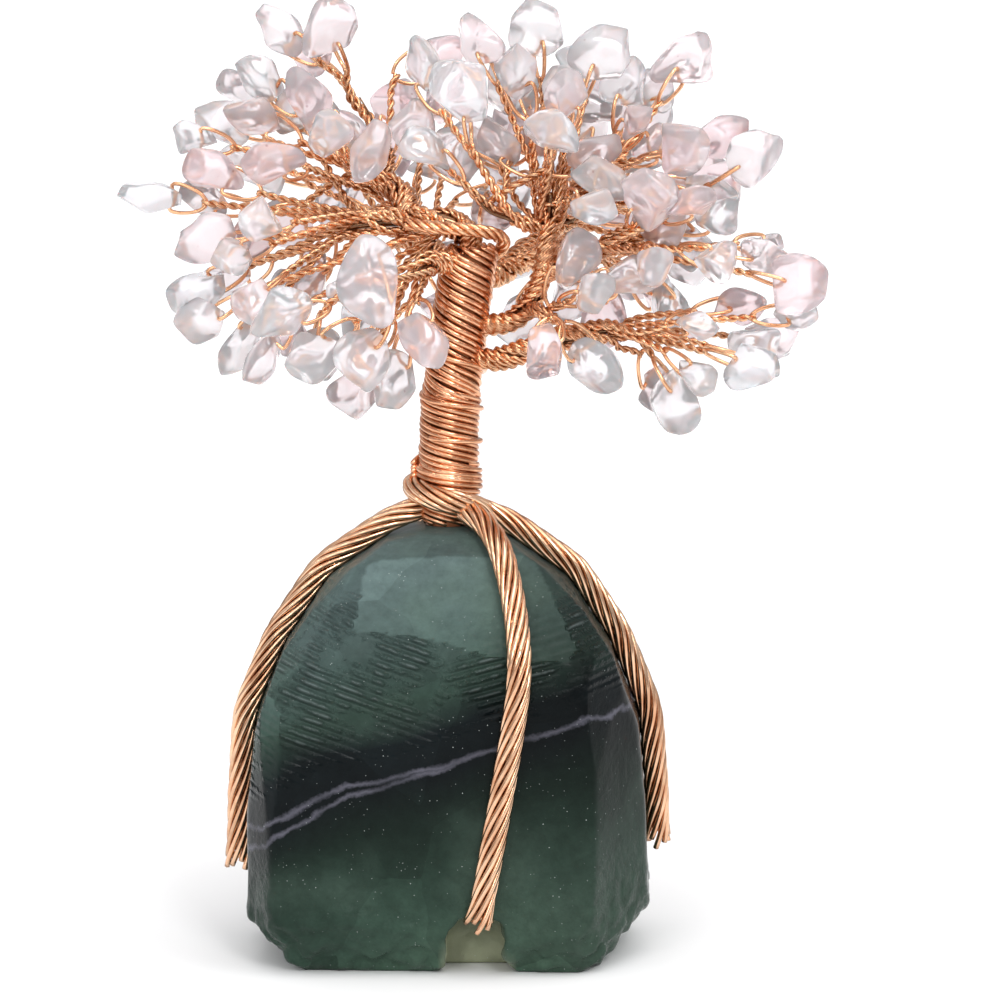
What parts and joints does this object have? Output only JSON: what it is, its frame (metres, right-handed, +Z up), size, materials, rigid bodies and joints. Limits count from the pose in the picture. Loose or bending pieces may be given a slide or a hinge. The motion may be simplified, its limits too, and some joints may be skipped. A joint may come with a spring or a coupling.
{
  "type": "gemstone tree ornament",
  "caption": "Small tree of twisted copper wire with drilled rose quartz chips on its twigs, rooted over a raw fluorite stone; boughs bend and front chips swing.",
  "frame": {"origin": "centre of the flat foot under the stone, on the table", "axes": "+Z up, +X to the right and +Y away from the viewer in the picture"},
  "size_m": [0.0994, 0.0669, 0.1349],
  "materials": {
    "fluorite": "raw stone, sawn and ground facets, slightly translucent",
    "copper_wire": "bare copper wire, satin, slightly aged",
    "rose_quartz": "tumbled and polished, translucent"
  },
  "bodies": {
    "base": {"base_stone": "fluorite", "left_root": "copper_wire", "right_root": "copper_wire", "front_root": "copper_wire", "back_root": "copper_wire", "trunk_core": "copper_wire", "trunk_wrap": "copper_wire"},
    "left_bough": {"left_bough_cable": "copper_wire", "left_bough_twigs": "copper_wire", "left_bough_chips": "rose_quartz", "left_upper_branch_cable": "copper_wire", "left_upper_branch_twigs": "copper_wire", "left_upper_branch_chips": "rose_quartz", "left_top_branch_cable": "copper_wire", "left_top_branch_twigs": "copper_wire", "left_top_branch_chips": "rose_quartz"},
    "left_low_bough": {"left_low_bough_cable": "copper_wire", "left_low_bough_twigs": "copper_wire", "left_low_bough_chips": "rose_quartz"},
    "right_bough": {"right_bough_cable": "copper_wire", "right_bough_twigs": "copper_wire", "right_bough_chips": "rose_quartz", "top_left_branch_cable": "copper_wire", "top_left_branch_twigs": "copper_wire", "top_left_branch_chips": "rose_quartz", "right_upper_branch_cable": "copper_wire", "right_upper_branch_twigs": "copper_wire", "right_upper_branch_chips": "rose_quartz", "right_middle_branch_cable": "copper_wire", "right_middle_branch_twigs": "copper_wire", "right_middle_branch_chips": "rose_quartz", "right_under_branch_cable": "copper_wire", "right_under_branch_twigs": "copper_wire", "right_under_branch_chips": "rose_quartz"},
    "right_low_bough": {"right_low_bough_cable": "copper_wire", "right_low_bough_twigs": "copper_wire", "right_low_bough_chips": "rose_quartz"},
    "back_left_bough": {"back_left_bough_cable": "copper_wire", "back_left_bough_twigs": "copper_wire", "back_left_bough_chips": "rose_quartz"},
    "back_right_bough": {"back_right_bough_cable": "copper_wire", "back_right_bough_twigs": "copper_wire", "back_right_bough_chips": "rose_quartz"},
    "left_front_chip": {"left_front_chip": "rose_quartz"},
    "long_front_chip": {"long_front_chip": "rose_quartz"},
    "trunk_front_chip": {"trunk_front_chip": "rose_quartz"},
    "top_front_chip": {"top_front_chip": "rose_quartz"},
    "right_low_front_chip": {"right_low_front_chip": "rose_quartz"},
    "right_low_outer_chip": {"right_low_outer_chip": "rose_quartz"},
    "back_left_chip": {"back_left_chip": "rose_quartz"},
    "back_right_chip": {"back_right_chip": "rose_quartz"},
    "left_upper_chip": {"left_upper_chip": "rose_quartz"},
    "crown_chip": {"crown_chip": "rose_quartz"},
    "right_upper_chip": {"right_upper_chip": "rose_quartz"},
    "pink_front_chip": {"pink_front_chip": "rose_quartz"}
  },
  "joints": [
    {"name": "left_bough_bend", "type": "hinge", "parent": "base", "child": "left_bough", "pos_m": [0.00327, 0, 0.10039], "axis": [0, 1, 0], "range_deg": [-6, 3]},
    {"name": "left_low_bough_bend", "type": "hinge", "parent": "base", "child": "left_low_bough", "pos_m": [-0.00093, -0.00275, 0.09914], "axis": [-0.9301, 0.3674, 0], "range_deg": [-6, 6]},
    {"name": "right_bough_bend", "type": "hinge", "parent": "base", "child": "right_bough", "pos_m": [0.00658, 0, 0.09], "axis": [-0.0973, -0.9953, 0], "range_deg": [-5, 3]},
    {"name": "right_low_bough_bend", "type": "hinge", "parent": "base", "child": "right_low_bough", "pos_m": [0.00574, -0.00164, 0.08517], "axis": [0.0167, -0.9999, 0], "range_deg": [-6, 4]},
    {"name": "back_left_bough_bend", "type": "hinge", "parent": "base", "child": "back_left_bough", "pos_m": [0.00016, 0.00393, 0.09846], "axis": [0.8616, 0.5076, 0], "range_deg": [-6, 6]},
    {"name": "back_right_bough_bend", "type": "hinge", "parent": "base", "child": "back_right_bough", "pos_m": [0.00545, 0.00393, 0.09662], "axis": [0.7219, -0.692, 0], "range_deg": [-6, 6]},
    {"name": "left_front_chip_swing", "type": "hinge", "parent": "left_bough", "child": "left_front_chip", "pos_m": [-0.02486, -0.01149, 0.10574], "axis": [0.5911, -0.4488, 0.6702], "range_deg": [-20, 20]},
    {"name": "long_front_chip_swing", "type": "hinge", "parent": "left_low_bough", "child": "long_front_chip", "pos_m": [-0.0094, -0.02023, 0.09827], "axis": [-0.2505, 0.1754, 0.9521], "range_deg": [-20, 20]},
    {"name": "trunk_front_chip_swing", "type": "hinge", "parent": "left_low_bough", "child": "trunk_front_chip", "pos_m": [-0.00353, -0.01672, 0.09156], "axis": [-0.7753, 0.3144, -0.5479], "range_deg": [-20, 20]},
    {"name": "top_front_chip_swing", "type": "hinge", "parent": "right_bough", "child": "top_front_chip", "pos_m": [0.01427, -0.00875, 0.117], "axis": [-0.2435, -0.6258, -0.741], "range_deg": [-20, 20]},
    {"name": "right_low_front_chip_swing", "type": "hinge", "parent": "right_low_bough", "child": "right_low_front_chip", "pos_m": [0.03393, -0.00744, 0.08442], "axis": [-0.134, 0.5523, -0.8228], "range_deg": [-12, 20]},
    {"name": "right_low_outer_chip_swing", "type": "hinge", "parent": "right_low_bough", "child": "right_low_outer_chip", "pos_m": [0.04072, -0.0057, 0.0853], "axis": [-0.1423, -0.8843, 0.4446], "range_deg": [-20, 20]},
    {"name": "back_left_chip_swing", "type": "hinge", "parent": "back_left_bough", "child": "back_left_chip", "pos_m": [-0.01203, 0.017, 0.0929], "axis": [-0.9367, -0.179, 0.3011], "range_deg": [-20, 20]},
    {"name": "back_right_chip_swing", "type": "hinge", "parent": "back_right_bough", "child": "back_right_chip", "pos_m": [0.02143, 0.01741, 0.0914], "axis": [0.6377, -0.7494, 0.1782], "range_deg": [-20, 20]},
    {"name": "left_upper_chip_swing", "type": "hinge", "parent": "left_bough", "child": "left_upper_chip", "pos_m": [-0.02306, -0.00609, 0.11324], "axis": [0.2293, -0.3676, -0.9013], "range_deg": [-20, 20]},
    {"name": "crown_chip_swing", "type": "hinge", "parent": "right_bough", "child": "crown_chip", "pos_m": [0.00266, -0.00695, 0.1204], "axis": [0.1462, 0.9448, 0.2932], "range_deg": [-20, 20]},
    {"name": "right_upper_chip_swing", "type": "hinge", "parent": "right_bough", "child": "right_upper_chip", "pos_m": [0.03087, -0.00358, 0.11486], "axis": [0.7257, 0.688, -0.0095], "range_deg": [-20, 20]},
    {"name": "pink_front_chip_swing", "type": "hinge", "parent": "right_bough", "child": "pink_front_chip", "pos_m": [0.02821, -0.0153, 0.10049], "axis": [-0.3069, 0.141, -0.9412], "range_deg": [-20, 20]}
  ]
}
